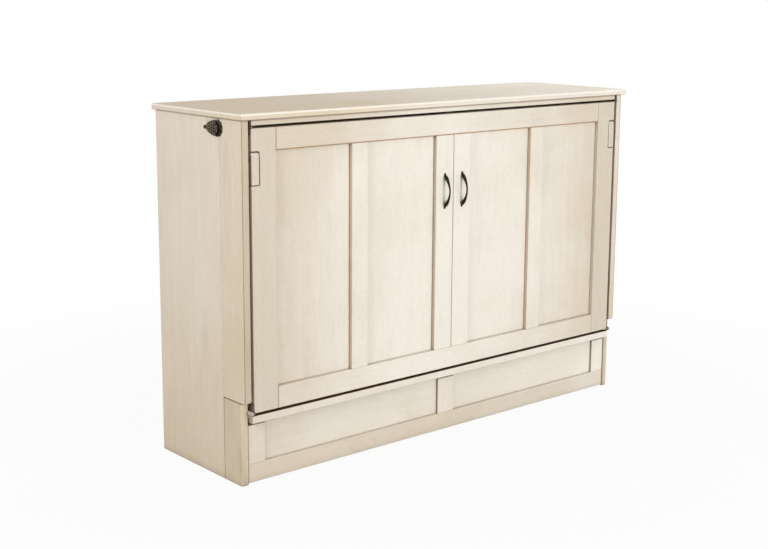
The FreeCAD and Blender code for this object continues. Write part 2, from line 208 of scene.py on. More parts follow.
def make_corner_glaze_and_shade():
    """Glaze and painted shade from ambient occlusion in inner corners, joints and narrow gaps,
    broken up a little.
    """
    tree, given, result = new_group(
        "corner glaze and shade",
        [("Reach", "NodeSocketFloat"), ("Full", "NodeSocketFloat"),
         ("Position", "NodeSocketVector")],
        [("Mask", "NodeSocketFloat")])
    shade = place(tree, "ShaderNodeAmbientOcclusion", samples=CORNER_SAMPLES)
    tree.links.new(given["Reach"], shade.inputs["Distance"])
    hidden = calc(tree, "SUBTRACT", 1.0, shade.outputs["AO"])
    uneven = noise(tree, given["Position"], CORNER_BREAK_SCALE)
    broken = calc(tree, "MULTIPLY_ADD", uneven, CORNER_BREAK, -CORNER_BREAK / 2)
    hidden = calc(tree, "ADD", hidden, calc(tree, "MULTIPLY", broken, hidden))
    tree.links.new(ramp(tree, hidden, CORNER_START, given["Full"]), result["Mask"])
    return tree


def make_edge_rub():
    """Where hands and cloths rub: the outer edges of a piece."""
    tree, given, result = new_group(
        "edge rub",
        [("Radius", "NodeSocketFloat"), ("Position", "NodeSocketVector")],
        [("Mask", "NodeSocketFloat")])
    rounded = place(tree, "ShaderNodeBevel", samples=RUB_SAMPLES)
    tree.links.new(given["Radius"], rounded.inputs["Radius"])
    true_normal = place(tree, "ShaderNodeNewGeometry").outputs["Normal"]
    turn = place(tree, "ShaderNodeVectorMath", operation="DOT_PRODUCT")
    tree.links.new(rounded.outputs["Normal"], turn.inputs[0])
    tree.links.new(true_normal, turn.inputs[1])
    bend = calc(tree, "SUBTRACT", 1.0, turn.outputs["Value"])
    patches = ramp(tree, noise(tree, given["Position"], RUB_PATCH_SCALE), *RUB_PATCH_RAMP)
    patches = calc(tree, "MULTIPLY_ADD", patches, 1.0 - RUB_PATCH_LEAST, RUB_PATCH_LEAST)
    rub = calc(tree, "MULTIPLY", ramp(tree, bend, *RUB_BEND_RAMP), patches)
    tree.links.new(rub, result["Mask"])
    return tree


def make_grain():
    """Long streaks along a board. Stretch is small along the grain."""
    tree, given, result = new_group(
        "grain streaks",
        [("Position", "NodeSocketVector"), ("Stretch", "NodeSocketVector"),
         ("Scale", "NodeSocketFloat")],
        [("Streak", "NodeSocketFloat"), ("Fine", "NodeSocketFloat")])
    along = stretched(tree, given["Position"], given["Stretch"])
    fine_scale = calc(tree, "MULTIPLY", given["Scale"], FINE_GRAIN_FACTOR)
    broad = noise(tree, along, given["Scale"], GRAIN_DETAIL, GRAIN_ROUGHNESS)
    fine = noise(tree, along, fine_scale, FINE_GRAIN_DETAIL, GRAIN_ROUGHNESS)
    tree.links.new(broad, result["Streak"])
    tree.links.new(fine, result["Fine"])
    return tree


def make_mottle():
    """Change of tone over a surface, slow or fine by its scale."""
    tree, given, result = new_group(
        "mottle",
        [("Position", "NodeSocketVector"), ("Scale", "NodeSocketFloat")],
        [("Tone", "NodeSocketFloat")])
    tone = noise(tree, given["Position"], given["Scale"], MOTTLE_DETAIL, MOTTLE_ROUGHNESS)
    tree.links.new(tone, result["Tone"])
    return tree


corner_glaze_and_shade = make_corner_glaze_and_shade()
edge_rub = make_edge_rub()
grain_streaks = make_grain()
mottle = make_mottle()


def tone_of(tree, position, scale):
    return use_group(tree, mottle, Position=position, Scale=scale)["Tone"]


def rub_of(tree, position, radius):
    return use_group(tree, edge_rub, Radius=radius, Position=position)["Mask"]


def glaze_and_shade_of(tree, position, reach, full):
    return use_group(tree, corner_glaze_and_shade, Reach=reach, Full=full, Position=position)["Mask"]


def new_finish(name):
    material = bpy.data.materials.new(name)
    material.use_nodes = True
    tree = material.node_tree
    tree.nodes.clear()
    shader = place(tree, "ShaderNodeBsdfPrincipled")
    output = place(tree, "ShaderNodeOutputMaterial")
    tree.links.new(shader.outputs[0], output.inputs["Surface"])
    position = place(tree, "ShaderNodeTexCoord").outputs["Object"]
    return material, tree, shader.inputs, position


def relief(tree, height, strength, depth, sockets):
    node = place(tree, "ShaderNodeBump")
    node.inputs["Strength"].default_value = strength
    node.inputs["Distance"].default_value = depth
    tree.links.new(height, node.inputs["Height"])
    tree.links.new(node.outputs[0], sockets["Normal"])


def roughen(tree, value, swing, least, sockets):
    rough = calc(tree, "MULTIPLY_ADD", value, swing, least)
    tree.links.new(rough, sockets["Roughness"])


# Antique cream paint

BRUSH_SCALE = 55.0
MOTTLE_SCALE = 2.6
MOTTLE_RAMP = (0.33, 0.67)
MOTTLE_SWING = 0.40
FACING_RAMP = (0.5, 0.95)
BRUSH_RAMP = (0.42, 0.66)
BRUSH_FADE = 0.15
FINE_BRUSH_RAMP = (0.48, 0.72)
FINE_BRUSH_SHARE = 0.11
PORE_SCALE = 230.0
PORE_RAMP = (0.48, 0.74)
PORE_SHARE = 0.08
CLOUD_SCALE = 19.0
CLOUD_RAMP = (0.48, 0.78)
CORNER_REACH = 0.045
CORNER_FULL = 0.85
CORNER_SHARE = 0.36
JOINT_REACH = 0.007
JOINT_FULL = 0.48
JOINT_SHARE = 0.38
LEDGE_SHARE = 0.35
ARRIS_RADIUS = 0.0034
CREAM_ROUGH = (0.16, 0.50)
CREAM_SPECULAR = 0.18
CREAM_RELIEF = (0.12, 0.0006)
BROAD_RELIEF_SHARE = 0.6


def glazed_cream(name, stretch, glaze, drift, facing_shade, corner=1.0, line=1.0, rubbed=0.58,
                 wash=0.05, edge_share=1.0, bands=(), warm=WARM_COAT_AND_SHADE, brushed=0.24, base=CREAM,
                 swing=MOTTLE_SWING, facing_shade_tint=GLAZE_AND_SHADE_BROWN):
    """Antique cream paint, brushed along the board, with brown glaze and painted shade in the
    corners.

    glaze is the share of the warm coat that the piece keeps; the warm coat is glaze and also
    painted shade, more of it on pieces that take less light. drift says where it keeps more, as
    painted
    shade: the way, the place where it starts, the place where it is full, and what it adds there.
    facing_shade is the painted shade on the faces that look along each axis, in the colour
    facing_shade_tint. corner scales the soft glaze and painted shade in the corners and line the
    narrow glaze and painted shade at the joints. rubbed is the brown along the arrises, and wash
    the brown in the small clouds. edge_share is how much of the warm coat the upright edges of a
    level board keep, so that its top face takes more painted shade. bands are narrow strips: the
    faces they lie on, and their way, start, full place, share and tint; they hold painted
    highlights, painted shadow lines and dark joint lines. warm is the tint of the warm coat and its
    painted shade, base that of the coat under it, and brushed the share of pale brush streaks where
    the warm coat is thin. swing is how far the warm coat comes and goes over the piece.
    """
    material, tree, sockets, position = new_finish(name)
    streak = use_group(tree, grain_streaks, Position=position, Stretch=stretch, Scale=BRUSH_SCALE)
    along = stretched(tree, position, [math.sqrt(share) for share in stretch])
    tone = ramp(tree, tone_of(tree, position, MOTTLE_SCALE), *MOTTLE_RAMP)
    cover = calc(tree, "MULTIPLY_ADD", tone, swing, glaze - swing / 2)
    # Painted shade: the drift adds warm coat towards the parts that take less light.
    way, start, full, added = drift
    drifted = ramp(tree, measured(tree, position, way), start, full)
    cover = calc(tree, "MULTIPLY_ADD", drifted, added, cover)
    facing = split(tree, place(tree, "ShaderNodeTexCoord").outputs["Normal"])
    turned = {axis: ramp(tree, calc(tree, "ABSOLUTE", facing[axis]), *FACING_RAMP)
              for axis in "XYZ"}
    turned["upright"] = calc(tree, "SUBTRACT", 1.0, turned["Z"])
    # Painted shade: a level board's top face keeps more of the warm coat than its upright edges.
    if edge_share < 1.0:
        kept = calc(tree, "MULTIPLY_ADD", turned["Z"], 1.0 - edge_share, edge_share)
        cover = calc(tree, "MULTIPLY", cover, kept)
    colour = blend_colour(tree, cover, base, warm)

    brush = ramp(tree, streak["Streak"], *BRUSH_RAMP)
    brush_share = calc(tree, "MULTIPLY_ADD", cover, -BRUSH_FADE, brushed, clamp=True)
    fine_brush = ramp(tree, streak["Fine"], *FINE_BRUSH_RAMP)
    pores = ramp(tree, tone_of(tree, along, PORE_SCALE), *PORE_RAMP)
    clouds = ramp(tree, tone_of(tree, along, CLOUD_SCALE), *CLOUD_RAMP)
    colour = tinted(tree, colour, brush, brush_share, CREAM_PALE)
    colour = tinted(tree, colour, fine_brush, FINE_BRUSH_SHARE, warm)
    colour = tinted(tree, colour, pores, PORE_SHARE, GLAZE_AND_SHADE_BROWN)
    colour = tinted(tree, colour, clouds, wash, GLAZE_AND_SHADE_BROWN)
    # Painted shade on the faces that look along each axis, such as recess walls turned from the
    # lamps.
    for axis, share in facing_shade.items():
        colour = tinted(tree, colour, turned[axis], share, facing_shade_tint)

    # Glaze and painted shade from ambient occlusion: soft in the corners, narrow at the joints,
    # lighter on level ledges.
    ledge = calc(tree, "MULTIPLY_ADD", turned["Z"], LEDGE_SHARE - 1.0, 1.0)
    for reach, full, share in ((CORNER_REACH, CORNER_FULL, CORNER_SHARE * corner),
                               (JOINT_REACH, JOINT_FULL, JOINT_SHARE * line)):
        left = calc(tree, "MULTIPLY", glaze_and_shade_of(tree, position, reach, full), ledge)
        colour = tinted(tree, colour, left, share, GLAZE_AND_SHADE_BROWN)
    colour = tinted(tree, colour, rub_of(tree, position, ARRIS_RADIUS), rubbed, GLAZE_AND_SHADE_BROWN)
    # Narrow strips: painted highlights, painted shadow lines and dark joint lines.
    for face, way, start, full, share, tint in bands:
        band = ramp(tree, measured(tree, position, way), start, full)
        band = calc(tree, "MULTIPLY", band, turned[face])
        colour = tinted(tree, colour, band, share, tint)
    tree.links.new(colour, sockets["Base Color"])
    roughen(tree, streak["Fine"], *CREAM_ROUGH, sockets)
    sockets["Specular IOR Level"].default_value = CREAM_SPECULAR
    height = calc(tree, "MULTIPLY_ADD", streak["Streak"], BROAD_RELIEF_SHARE, streak["Fine"])
    relief(tree, height, *CREAM_RELIEF, sockets)
    return material


# Boards, metals, rubber and cloth

BIRCH_SCALE = 34.0
BIRCH_RAMP = (0.30, 0.72)
BIRCH_FINE_RAMP = (0.5, 0.8)
BIRCH_FINE_SHARE = 0.35
BIRCH_TONE_SCALE = 2.0
BIRCH_TONE_RAMP = (0.4, 0.7)
BIRCH_TONE_SHARE = 0.25
BIRCH_ROUGH = (0.18, 0.45)
BIRCH_RELIEF = (0.2, 0.0006)


def birch(name, stretch, light=BIRCH_LIGHT, dark=BIRCH_DARK):
    """Birch board under matt lacquer, in its own colours or near-black as painted shade."""
    material, tree, sockets, position = new_finish(name)
    streak = use_group(tree, grain_streaks, Position=position, Stretch=stretch, Scale=BIRCH_SCALE)
    tone = ramp(tree, tone_of(tree, position, BIRCH_TONE_SCALE), *BIRCH_TONE_RAMP)
    fine = ramp(tree, streak["Fine"], *BIRCH_FINE_RAMP)
    colour = blend_colour(tree, ramp(tree, streak["Streak"], *BIRCH_RAMP), light, dark)
    colour = tinted(tree, colour, fine, BIRCH_FINE_SHARE, dark)
    colour = tinted(tree, colour, tone, BIRCH_TONE_SHARE, dark)
    tree.links.new(colour, sockets["Base Color"])
    roughen(tree, streak["Fine"], *BIRCH_ROUGH, sockets)
    relief(tree, streak["Fine"], *BIRCH_RELIEF, sockets)
    return material


BRONZE_TONE_SCALE = 60.0
BRONZE_TONE_RAMP = (0.55, 0.8)
BRONZE_TONE_SHARE = 0.45
BRONZE_CAST_SCALE = 420.0
BRONZE_RUB_RADIUS = 0.0016
BRONZE_METALLIC = 0.85
BRONZE_ROUGH = (0.22, 0.30)
BRONZE_RELIEF = (0.18, 0.0003)


def antique_bronze(name, handled, wear=1.0):
    """Dark bronze, rubbed brighter on its edges by wear and all over by handled."""
    material, tree, sockets, position = new_finish(name)
    tone = ramp(tree, tone_of(tree, position, BRONZE_TONE_SCALE), *BRONZE_TONE_RAMP)
    cast = tone_of(tree, position, BRONZE_CAST_SCALE)
    worn = calc(tree, "MAXIMUM", rub_of(tree, position, BRONZE_RUB_RADIUS),
                calc(tree, "MULTIPLY", tone, BRONZE_TONE_SHARE))
    worn = calc(tree, "MULTIPLY_ADD", worn, wear, handled, clamp=True)
    tree.links.new(blend_colour(tree, worn, BRONZE_DARK, BRONZE_RUBBED), sockets["Base Color"])
    sockets["Metallic"].default_value = BRONZE_METALLIC
    roughen(tree, cast, *BRONZE_ROUGH, sockets)
    relief(tree, cast, *BRONZE_RELIEF, sockets)
    return material


ZINC_CLOUD_SCALE = 140.0
ZINC_CLOUD_RAMP = (0.35, 0.65)
ZINC_ROUGH = (0.3, 0.22)
ZINC_RELIEF = (0.08, 0.0003)


def zinc_steel():
    """Zinc plated steel with cloudy spangle."""
    material, tree, sockets, position = new_finish("zinc plated steel")
    cloud = tone_of(tree, position, ZINC_CLOUD_SCALE)
    dull = ramp(tree, cloud, *ZINC_CLOUD_RAMP)
    tree.links.new(blend_colour(tree, dull, ZINC_LIGHT, ZINC_DULL), sockets["Base Color"])
    sockets["Metallic"].default_value = 1.0
    roughen(tree, cloud, *ZINC_ROUGH, sockets)
    relief(tree, cloud, *ZINC_RELIEF, sockets)
    return material


STEEL_CLOUD_SCALE = 170.0
STEEL_CLOUD_RAMP = (0.50, 0.85)
STEEL_RUB_RADIUS = 0.0010
STEEL_RUB_SHARE = 0.6
STEEL_ROUGH = (0.25, 0.40)
STEEL_RELIEF = (0.1, 0.0003)


def aged_steel(name, ground, worn_tint, metallic):
    """Steel hardware gone dark, or painted over with the cabinet, and rubbed on its edges."""
    material, tree, sockets, position = new_finish(name)
    cloud = tone_of(tree, position, STEEL_CLOUD_SCALE)
    rub = calc(tree, "MULTIPLY", rub_of(tree, position, STEEL_RUB_RADIUS), STEEL_RUB_SHARE)
    worn = calc(tree, "MAXIMUM", rub, ramp(tree, cloud, *STEEL_CLOUD_RAMP))
    tree.links.new(blend_colour(tree, worn, ground, worn_tint), sockets["Base Color"])
    sockets["Metallic"].default_value = metallic
    roughen(tree, cloud, *STEEL_ROUGH, sockets)
    relief(tree, cloud, *STEEL_RELIEF, sockets)
    return material


DUST_SCALE = 90.0
DUST_RAMP = (0.48, 0.75)
RUBBER_PORE_SCALE = 700.0
RUBBER_ROUGH = (0.2, 0.6)
RUBBER_RELIEF = (0.25, 0.0003)


def wheel_rubber():
    """Black rubber with grey floor dust."""
    material, tree, sockets, position = new_finish("wheel rubber")
    dust = tone_of(tree, position, DUST_SCALE)
    pores = tone_of(tree, position, RUBBER_PORE_SCALE)
    dusty = ramp(tree, dust, *DUST_RAMP)
    tree.links.new(blend_colour(tree, dusty, RUBBER_BLACK, RUBBER_DUST), sockets["Base Color"])
    roughen(tree, dust, *RUBBER_ROUGH, sockets)
    relief(tree, pores, *RUBBER_RELIEF, sockets)
    return material


THREAD_PACE = 3200.0
WEAVE_SHARE = 0.25
STRIPE_PACE = 150.0
STRIPE_RAMP = (0.80, 0.90)
SLUB_SCALE = 8.0
SLUB_RAMP = (0.45, 0.75)
SLUB_SHARE = 0.15
TICKING_ROUGHNESS = 0.9
TICKING_SHEEN = 0.15
TICKING_RELIEF = (0.3, 0.0004)


def mattress_ticking(name, stripe_share):
    """Cotton ticking: a fine square weave with a soft stripe."""
    material, tree, sockets, position = new_finish(name)
    parts = split(tree, position)
    threads = []
    for axis in ("X", "Z"):
        wave = calc(tree, "SINE", calc(tree, "MULTIPLY", parts[axis], THREAD_PACE))
        threads.append(calc(tree, "MULTIPLY_ADD", wave, 0.5, 0.5))
    weave = calc(tree, "MULTIPLY", threads[0], threads[1])
    slub = ramp(tree, tone_of(tree, position, SLUB_SCALE), *SLUB_RAMP)
    stripe = calc(tree, "SINE", calc(tree, "MULTIPLY", parts["X"], STRIPE_PACE))
    stripe = ramp(tree, stripe, *STRIPE_RAMP)
    colour = tinted(tree, TICKING_LIGHT, weave, WEAVE_SHARE, TICKING_SHADE)
    colour = tinted(tree, colour, stripe, stripe_share, TICKING_SHADE)
    colour = tinted(tree, colour, slub, SLUB_SHARE, TICKING_SHADE)
    tree.links.new(colour, sockets["Base Color"])
    sockets["Roughness"].default_value = TICKING_ROUGHNESS
    sockets["Sheen Weight"].default_value = TICKING_SHEEN
    relief(tree, weave, *TICKING_RELIEF, sockets)
    return material


# Which way the grain runs, where the narrow strips of painted highlight, painted shadow and dark
# joints lie, and where painted shade grows

UPRIGHT = (1.0, 1.0, 0.045)
LEVEL = (0.045, 1.0, 1.0)
DEEP = (1.0, 0.045, 1.0)
TOP_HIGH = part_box("top_board")[1].z
LID_RAIL_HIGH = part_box("lid_front_rail")[1].z
RAIL_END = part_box("front_top_rail")[1].x
RAIL_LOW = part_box("front_top_rail")[0].z
POST_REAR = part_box("left_post")[1].y
SIDE_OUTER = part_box("right_side_front_board")[1].x
SEAM_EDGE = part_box("right_centre_stile")[0].x
FOOT_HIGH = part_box("left_support_foot")[1].z


def strip(face, way, edge, start, full, share, tint):
    """A band for glazed_cream that starts and is full at places measured from an edge."""
    return face, way, edge + start, edge + full, share, tint


# Painted highlight on the top board's rounded front arris, and painted shadow along its lower front
# edge.
TOP_HIGHLIGHT = strip("upright", "Z", TOP_HIGH, -0.0075, -0.0045, 0.90, CREAM_HIGHLIGHT)
TOP_FOOT = strip("upright", "Z", TOP_HIGH, -0.0160, -0.0180, 0.40, GLAZE_AND_SHADE_BROWN)
# Painted shadow under the top board's overhang, on the lid rail.
LID_RAIL_STRIP = strip("Y", "Z", LID_RAIL_HIGH, -0.0060, -0.0040, 0.35, GLAZE_AND_SHADE_BROWN)
RAIL_END_STRIP = strip("Y", "from middle", RAIL_END, -0.0024, -0.0010, 0.70, GLAZE_AND_SHADE_BROWN)
# Painted shadow line along the lower edge of the top rail.
RAIL_LOW_STRIP = strip("Y", "Z", RAIL_LOW, 0.0042, 0.0022, 1.0, SHADE_TAN)
POST_STRIP = strip("X", "Y", POST_REAR, -0.0024, -0.0010, 0.60, GLAZE_AND_SHADE_BROWN)
SIDE_STRIP = strip("Y", "from middle", SIDE_OUTER, -0.0036, -0.0020, 0.40, GLAZE_AND_SHADE_BROWN)
# Painted shade in the seam between the centre stiles.
SEAM_STRIP = strip("upright", "from middle", SEAM_EDGE, 0.0008, 0.0003, 1.0, SEAM_SHADE)
# Painted highlight at the top of the support feet.
FOOT_HIGHLIGHT = strip("Y", "Z", FOOT_HIGH, -0.0080, -0.0055, 0.85, CREAM_HIGHLIGHT)

# Painted shade: the warm coat grows towards the ends of the front, the left of the drawer and of
# the top, and the bottom of the sides and posts.
FRONT_DRIFT = ("from middle", 0.18, 0.82, 0.84)
DRAWER_DRIFT = ("X", 0.60, -0.80, 0.62)
SIDE_DRIFT = ("Z", 0.80, 0.05, 0.36)
SIDE_FRONT_DRIFT = ("Z", 0.95, 0.30, 0.32)
POST_DRIFT = ("Z", 0.60, 0.10, 0.20)
TOP_DRIFT = ("X", 0.35, -0.65, 0.75)
# Painted shade on faces by the way they look: recess and gap walls, and the lower rail's top seen
# through the gap.
STILE_EDGE = {"X": 0.52, "Z": 0.20}
OUTER_EDGE = {"X": 0.10, "Z": 0.20}
FOOT_EDGE = {"X": 0.35, "Z": 0.40}
RAIL_EDGE = {"X": 0.45, "Z": 0.06}
GAP_RAIL_EDGE = {"X": 0.45, "Z": 0.97}
POST_EDGE = {"X": 0.07, "Y": 0.12}

# Copies of the cream for each group of pieces. Their shares of warm coat differ partly as glaze and
# partly as painted shade on pieces that take less light.
cream_upright = glazed_cream(
    "glazed cream upright", UPRIGHT, 0.06, FRONT_DRIFT, STILE_EDGE, corner=0.22,
    facing_shade_tint=SHADE_TAN)
cream_centre = glazed_cream(
    "glazed cream centre stile", UPRIGHT, 0.02, FRONT_DRIFT, STILE_EDGE, bands=(SEAM_STRIP,),
    facing_shade_tint=SHADE_TAN)
cream_outer = glazed_cream(
    "glazed cream outer stile", UPRIGHT, 0.38, FRONT_DRIFT, OUTER_EDGE, corner=0.25, line=0.25,
    warm=STILE_WARM_AND_SHADE)
cream_foot = glazed_cream(
    "glazed cream support foot", UPRIGHT, 0.26, FRONT_DRIFT, FOOT_EDGE, corner=0.25, line=0.25,
    bands=(FOOT_HIGHLIGHT,), warm=STILE_WARM_AND_SHADE)
cream_level = glazed_cream(
    "glazed cream level", LEVEL, 0.10, FRONT_DRIFT, RAIL_EDGE, rubbed=0.34,
    bands=(RAIL_END_STRIP,))
cream_top_rail = glazed_cream(
    "glazed cream top rail", LEVEL, 0.38, FRONT_DRIFT, RAIL_EDGE, rubbed=0.75,
    bands=(RAIL_END_STRIP, RAIL_LOW_STRIP))
cream_lid_rail = glazed_cream(
    "glazed cream lid rail", LEVEL, 0.36, FRONT_DRIFT, RAIL_EDGE, rubbed=0.75,
    bands=(LID_RAIL_STRIP,))
# Painted shade: the lower rail's top, seen through the gap, is made dark brown.
cream_gap_rail = glazed_cream(
    "glazed cream gap rail", LEVEL, 0.02, DRAWER_DRIFT, GAP_RAIL_EDGE)
# Painted light: the drawer and its stiles take a lighter base than the other cream.
cream_drawer = glazed_cream(
    "glazed cream drawer", LEVEL, 0.07, DRAWER_DRIFT, RAIL_EDGE, corner=0.60, line=0.7,
    base=CREAM_PAINTED_LIGHT)
cream_drawer_stile = glazed_cream(
    "glazed cream drawer stile", UPRIGHT, 0.02, DRAWER_DRIFT, STILE_EDGE, base=CREAM_PAINTED_LIGHT)
cream_drawer_rail = glazed_cream(
    "glazed cream drawer rail", LEVEL, 0.58, DRAWER_DRIFT, RAIL_EDGE, rubbed=0.25)
# The sides, posts and top keep more warm coat as painted shade, darker towards the bottom of the
# sides and posts and to the left of the top.
cream_side = glazed_cream(
    "glazed cream side", UPRIGHT, 0.52, SIDE_DRIFT, {}, rubbed=0.25, wash=0.09, warm=SIDE_WARM_AND_SHADE,
    brushed=0.26, swing=0.16)
cream_side_front = glazed_cream(
    "glazed cream side front", UPRIGHT, 0.62, SIDE_FRONT_DRIFT, {"Y": 0.26}, rubbed=0.70,
    wash=0.09, bands=(SIDE_STRIP,), warm=SIDE_WARM_AND_SHADE)
cream_side_far = glazed_cream(
    "glazed cream side front right", UPRIGHT, 0.50, SIDE_FRONT_DRIFT, {"Y": 0.06}, rubbed=0.70,
    bands=(SIDE_STRIP,), warm=SIDE_WARM_AND_SHADE)
cream_post = glazed_cream(
    "glazed cream post", UPRIGHT, 1.0, POST_DRIFT, POST_EDGE, rubbed=0.85, wash=0.30,
    bands=(POST_STRIP,), warm=SIDE_WARM_AND_SHADE)
cream_top = glazed_cream(
    "glazed cream top", LEVEL, 0.37, TOP_DRIFT, {}, rubbed=0.65, edge_share=0.75,
    bands=(TOP_HIGHLIGHT, TOP_FOOT), warm=SIDE_WARM_AND_SHADE)
birch_level = birch("birch board level", LEVEL)
birch_deep = birch("birch board deep", DEEP)
# Near-black birch as painted shade, for the beam and bearers seen only through gaps.
birch_gap_shade = birch("birch beam in painted shade", LEVEL, GAP_SHADE_LIGHT, GAP_SHADE_DARK)
birch_bearer_gap_shade = birch("birch bearer in painted shade", DEEP, GAP_SHADE_LIGHT, GAP_SHADE_DARK)
bronze = antique_bronze("antique bronze", handled=0.0)
bronze_handle = antique_bronze("antique bronze handle", handled=0.0, wear=0.18)
bronze_raised = antique_bronze("antique bronze raised", handled=0.70)
zinc = zinc_steel()
steel_dark = aged_steel("aged steel", STEEL_DARK, STEEL_WORN, metallic=0.5)
steel_painted = aged_steel("painted steel", STEEL_PAINTED, STEEL_CHIPPED, metallic=0.0)
rubber = wheel_rubber()
ticking = mattress_ticking("mattress ticking", stripe_share=0.55)
ticking_edge = mattress_ticking("mattress edge tape", stripe_share=0.0)

FINISHES = (
    (cream_side, ("left_side_rear_board", "right_side_rear_board")),
    (cream_side_front, ("left_side_front_board",)),
    (cream_side_far, ("right_side_front_board",)),
    (cream_post, ("left_post", "right_post")),
    (cream_outer, ("left_outer_stile", "right_outer_stile")),
    (cream_centre, ("left_centre_stile", "right_centre_stile")),
    (cream_upright, ("left_mullion", "right_mullion", "field_panels")),
    (cream_foot, ("left_support_foot", "right_support_foot")),
    (cream_drawer_stile, ("left_drawer_stile", "right_drawer_stile", "drawer_centre_stile")),
    (cream_drawer_rail, ("drawer_bottom_rail",)),
    (cream_drawer, ("drawer_face",)),
    (cream_top_rail, ("front_top_rail",)),
    (cream_level, ("front_bottom_rail",)),
    (cream_top, ("top_board",)),
    (cream_lid_rail, ("lid_front_rail",)),
    (cream_gap_rail, ("lower_rail",)),
    (birch_level, ("back_panel", "deck_board", "front_deck_board", "lid_deck_board",
                   "drawer_back", "drawer_base")),
    (birch_deep, ("left_deck_cleat", "right_deck_cleat", "drawer_guides", "left_drawer_side",
                  "right_drawer_side")),
    (birch_gap_shade, ("deck_beam",)),
    (birch_bearer_gap_shade, ("left_lid_bearer", "right_lid_bearer", "lid_centre_bearer")),
    (bronze_handle, ("left_handle", "right_handle")),
    (bronze, ("latch_plates", "latch_screws", "left_latch_lever", "right_latch_lever",
              "lid_lugs", "foot_pins")),
    (steel_painted, ("pivot_brackets",)),
    (steel_dark, ("pivot_plates", "lid_pivot_plates")),
    (zinc, ("handle_screws", "caster_forks")),
    (rubber, ("left_front_wheel", "right_front_wheel", "left_rear_wheel", "right_rear_wheel")),
)
for finish, node_names in FINISHES:
    for node_name in node_names:
        mesh = nodes[node_name].data
        mesh.materials.clear()
        mesh.materials.append(finish)


# Mattress sections, padded and taped

MATTRESS_INSET = 0.009
MATTRESS_SWELL = 0.008
EDGE_ROUNDING = 0.018
EDGE_STEPS = 4
SKIN_VOXEL = 0.014
COVER_PRESSURE = 4.0
COVER_TENSION = 20.0
COVER_FRAMES = 20
TAPE_RADIUS = 0.0045
TAPE_ROUNDNESS = 3
TAPE_FACE_INSET = 0.012
TAPE_DEPTH_INSET = 0.022
TAPE_CORNER = 0.022
TAPE_CORNER_STEPS = 6


def apply_modifiers(obj):
    graph = bpy.context.evaluated_depsgraph_get()
    shaped = bpy.data.meshes.new_from_object(obj.evaluated_get(graph))
    obj.modifiers.clear()
    obj.data = shaped


def smooth(obj):
    for polygon in obj.data.polygons:
        polygon.use_smooth = True


def add_object(name, data, material=None):
    obj = bpy.data.objects.new(name, data)
    bpy.context.scene.collection.objects.link(obj)
    if material is not None:
        obj.data.materials.append(material)
    return obj


def mesh_from(name, shape):
    mesh = bpy.data.meshes.new(name)
    shape.to_mesh(mesh)
    shape.free()
    return mesh


def padded_block(name, size, inset, swell):
    """A foam block in a sewn cover: blown up by cloth pressure, held within swell of its start."""
    shape = bmesh.new()
    bmesh.ops.create_cube(shape, size=1.0)
    bmesh.ops.scale(shape, vec=[length - 2 * inset for length in size], verts=shape.verts)
    block = add_object(name, mesh_from(name, shape))
    rounding = block.modifiers.new("rounded edges", "BEVEL")
    rounding.width = EDGE_ROUNDING
    rounding.segments = EDGE_STEPS
    apply_modifiers(block)
    remesh = block.modifiers.new("even skin", "REMESH")
    remesh.mode = "VOXEL"
    remesh.voxel_size = SKIN_VOXEL
    apply_modifiers(block)
    start = [vertex.co.copy() for vertex in block.data.vertices]
    cloth = block.modifiers.new("cover", "CLOTH")
    cloth.settings.use_pressure = True
    cloth.settings.uniform_pressure_force = COVER_PRESSURE
    cloth.settings.tension_stiffness = COVER_TENSION
    cloth.settings.effector_weights.gravity = 0.0
    scene = bpy.context.scene
    for step in range(1, COVER_FRAMES + 1):
        scene.frame_set(step)
    apply_modifiers(block)
    scene.frame_set(1)
    for vertex, rest in zip(block.data.vertices, start):
        move = vertex.co - rest
        if move.length > swell:
            vertex.co = rest + move.normalized() * swell
    smooth(block)
    return block


def tape_loop(name, half_width, half_height, depth):
    """The taped seam round one face of a section."""
    path = []
    for sx, sz, first in ((1, 1, 0), (-1, 1, 90), (-1, -1, 180), (1, -1, 270)):
        for index in range(TAPE_CORNER_STEPS + 1):
            turn = math.radians(first + 90 * index / TAPE_CORNER_STEPS)
            path.append(Vector((
                sx * (half_width - TAPE_CORNER) + TAPE_CORNER * math.cos(turn), depth,
                sz * (half_height - TAPE_CORNER) + TAPE_CORNER * math.sin(turn))))
    curve = bpy.data.curves.new(name, "CURVE")
    curve.dimensions = "3D"
    curve.bevel_depth = TAPE_RADIUS
    curve.bevel_resolution = TAPE_ROUNDNESS
    spline = curve.splines.new("POLY")
    spline.points.add(len(path) - 1)
    for spot, co in zip(spline.points, path):
        spot.co = (*co, 1.0)
    spline.use_cyclic_u = True
    maker = add_object(name + "_path", curve)
    graph = bpy.context.evaluated_depsgraph_get()
    mesh = bpy.data.meshes.new_from_object(maker.evaluated_get(graph))
    bpy.data.objects.remove(maker)
    return mesh


first_low, first_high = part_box("mattress_front")
section_size = first_high - first_low
section_half = section_size / 2
section_mesh = None
for section in ("front", "middle", "rear"):
    low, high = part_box("mattress_" + section)
    centre = (low + high) / 2
    label = "mattress_" + section + "_cover"
    if section_mesh is None:
        cover = padded_block(label, section_size, MATTRESS_INSET, MATTRESS_SWELL)
        section_mesh = cover.data.copy()
    else:
        cover = add_object(label, section_mesh.copy())
    cover.data.materials.clear()
    cover.data.materials.append(ticking)
    cover.data.transform(Matrix.Translation(centre))
    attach(cover, "cabinet")
    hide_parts("mattress_" + section)
    for face, sign in (("front", -1), ("rear", 1)):
        tape_mesh = tape_loop(
            label + "_" + face, section_half.x - TAPE_FACE_INSET,
            section_half.z - TAPE_FACE_INSET, sign * (section_half.y - TAPE_DEPTH_INSET))
        tape = add_object("mattress_" + section + "_" + face + "_tape", tape_mesh, ticking_edge)
        tape.data.transform(Matrix.Translation(centre))
        smooth(tape)
        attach(tape, "cabinet")


